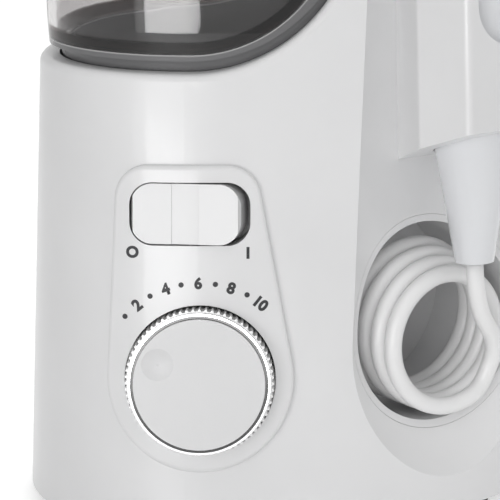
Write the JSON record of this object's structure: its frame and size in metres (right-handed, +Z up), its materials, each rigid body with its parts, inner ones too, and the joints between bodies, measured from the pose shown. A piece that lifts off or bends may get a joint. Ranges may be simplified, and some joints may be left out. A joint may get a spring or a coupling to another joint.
{
  "type": "countertop water flosser",
  "caption": "Countertop water flosser: leaning base with dial and rocker, smoked reservoir with lid, handle in a bay cradle and hose coiled in an oval well.",
  "frame": {"origin": "on the table, under the middle of the object", "axes": "+Z up, front faces -Y, +X to the right seen from the front"},
  "size_m": [0.1408, 0.1176, 0.2575],
  "materials": {
    "white_shell": "gloss white moulded ABS",
    "rocker_white": "gloss white",
    "white_satin": "satin white acetal",
    "handle_white": "gloss cool white",
    "hose_white": "soft white vinyl",
    "smoked": "clear smoked grey",
    "clear_tube": "milky silicone",
    "black_gloss": "gloss black",
    "knurl_grey": "bright knurled grip",
    "dial_satin": "satin light grey",
    "button_grey": "gloss grey",
    "board_green": "circuit board",
    "chrome": "mirror chrome",
    "steel": "plain steel",
    "brass": "turned brass",
    "grey_rubber": "matt grey rubber"
  },
  "bodies": {
    "base": {"base_shell": "white_shell", "base_plate": "white_shell", "base_screws": "steel", "rubber_feet": "grey_rubber", "hose_well": "white_shell", "hose_outlet": "white_satin", "hose_coil": "hose_white", "hose_lead": "hose_white", "handle_cradle": "white_shell", "control_panel": "white_shell", "dial_socket": "black_gloss", "regulator_body": "white_satin", "switch_body": "black_gloss", "circuit_board": "board_green", "inlet_grommet": "grey_rubber", "motor_body": "steel", "gear_axle": "steel", "pump_cylinder": "white_satin", "pump_head": "white_satin", "pump_frame": "white_satin", "suction_tube": "clear_tube", "delivery_tube": "clear_tube", "cord_gland": "grey_rubber"},
    "dial": {"dial_knurled_ring": "knurl_grey", "dial_bezel": "chrome", "dial_core": "black_gloss", "dial_face": "dial_satin", "dial_shaft": "white_satin"},
    "needle": {"regulator_needle": "steel"},
    "rocker": {"rocker_button": "rocker_white", "rocker_pin": "steel"},
    "tank": {"reservoir_tank": "smoked", "valve_seal": "grey_rubber"},
    "tank_valve": {"reservoir_valve": "white_satin"},
    "lid": {"reservoir_lid": "white_shell", "tip_cover_pin": "steel"},
    "tip_door": {"tip_cover": "white_shell"},
    "rotor": {"motor_rotor": "steel", "motor_pinion": "brass"},
    "gear": {"drive_gear": "white_satin", "crank_pin": "steel"},
    "piston": {"pump_piston": "white_satin", "connecting_rod": "white_satin"},
    "handle": {"handle_shell": "handle_white", "handle_rear_shell": "handle_white", "handle_nose": "handle_white", "handle_tube": "clear_tube"},
    "pause": {"pause_button": "button_grey"},
    "release": {"tip_release": "button_grey"},
    "collar": {"tip_collar": "button_grey"},
    "tip": {"jet_tip": "smoked"}
  },
  "joints": [
    {"name": "dial_turn", "type": "hinge", "parent": "base", "child": "dial", "pos_m": [-0.024, -0.04982, 0.04231], "axis": [0, -0.9925, 0.1219], "range_deg": [-104, 0]},
    {"name": "needle_slide", "type": "slide", "parent": "base", "child": "needle", "axis": [0, -0.9925, 0.1219], "range_m": [-0.002, 0]},
    {"name": "rocker_tilt", "type": "hinge", "parent": "base", "child": "rocker", "pos_m": [-0.0266, -0.03776, 0.08314], "axis": [0, 0.1219, 0.9925], "range_deg": [0, 18]},
    {"name": "tank_lift", "type": "slide", "parent": "base", "child": "tank", "axis": [0, 0, 1], "range_m": [0, 0.14]},
    {"name": "valve_lift", "type": "slide", "parent": "tank", "child": "tank_valve", "axis": [0, 0, 1], "range_m": [0, 0.002]},
    {"name": "lid_lift", "type": "slide", "parent": "tank", "child": "lid", "axis": [0, 0, 1], "range_m": [0, 0.08]},
    {"name": "tip_door_turn", "type": "hinge", "parent": "lid", "child": "tip_door", "pos_m": [-0.04, 0.0189, 0.2462], "axis": [-1, 0, 0], "range_deg": [0, 95]},
    {"name": "rotor_spin", "type": "hinge", "parent": "base", "child": "rotor", "pos_m": [0, 0.023, 0.027], "axis": [1, 0, 0], "continuous": true},
    {"name": "gear_spin", "type": "hinge", "parent": "base", "child": "gear", "pos_m": [0, 0.023, 0.0508], "axis": [1, 0, 0], "continuous": true},
    {"name": "piston_slide", "type": "slide", "parent": "base", "child": "piston", "axis": [0, 0, 1], "range_m": [-0.002, 0.002]},
    {"name": "handle_lift", "type": "slide", "parent": "base", "child": "handle", "axis": [-0.03, 0.0429, 0.9986], "range_m": [0, 0.16]},
    {"name": "pause_press", "type": "slide", "parent": "handle", "child": "pause", "axis": [-0.5728, 0.818, -0.0523], "range_m": [0, 0.0015], "stiffness_N_per_m": 300},
    {"name": "release_press", "type": "slide", "parent": "handle", "child": "release", "axis": [-0.5728, 0.818, -0.0523], "range_m": [0, 0.0015], "stiffness_N_per_m": 300},
    {"name": "collar_spin", "type": "hinge", "parent": "handle", "child": "collar", "pos_m": [0.04565, -0.0263, 0.0677], "axis": [-0.03, 0.0429, 0.9986], "continuous": true},
    {"name": "tip_pull", "type": "slide", "parent": "collar", "child": "tip", "axis": [-0.03, 0.0429, 0.9986], "range_m": [0, 0.03]}
  ],
  "couplings": [
    {"joint": "needle_slide", "follows": "dial_turn", "m_per_rad": 0.0011},
    {"joint": "rotor_spin", "follows": "gear_spin", "ratio": -2.5}
  ]
}
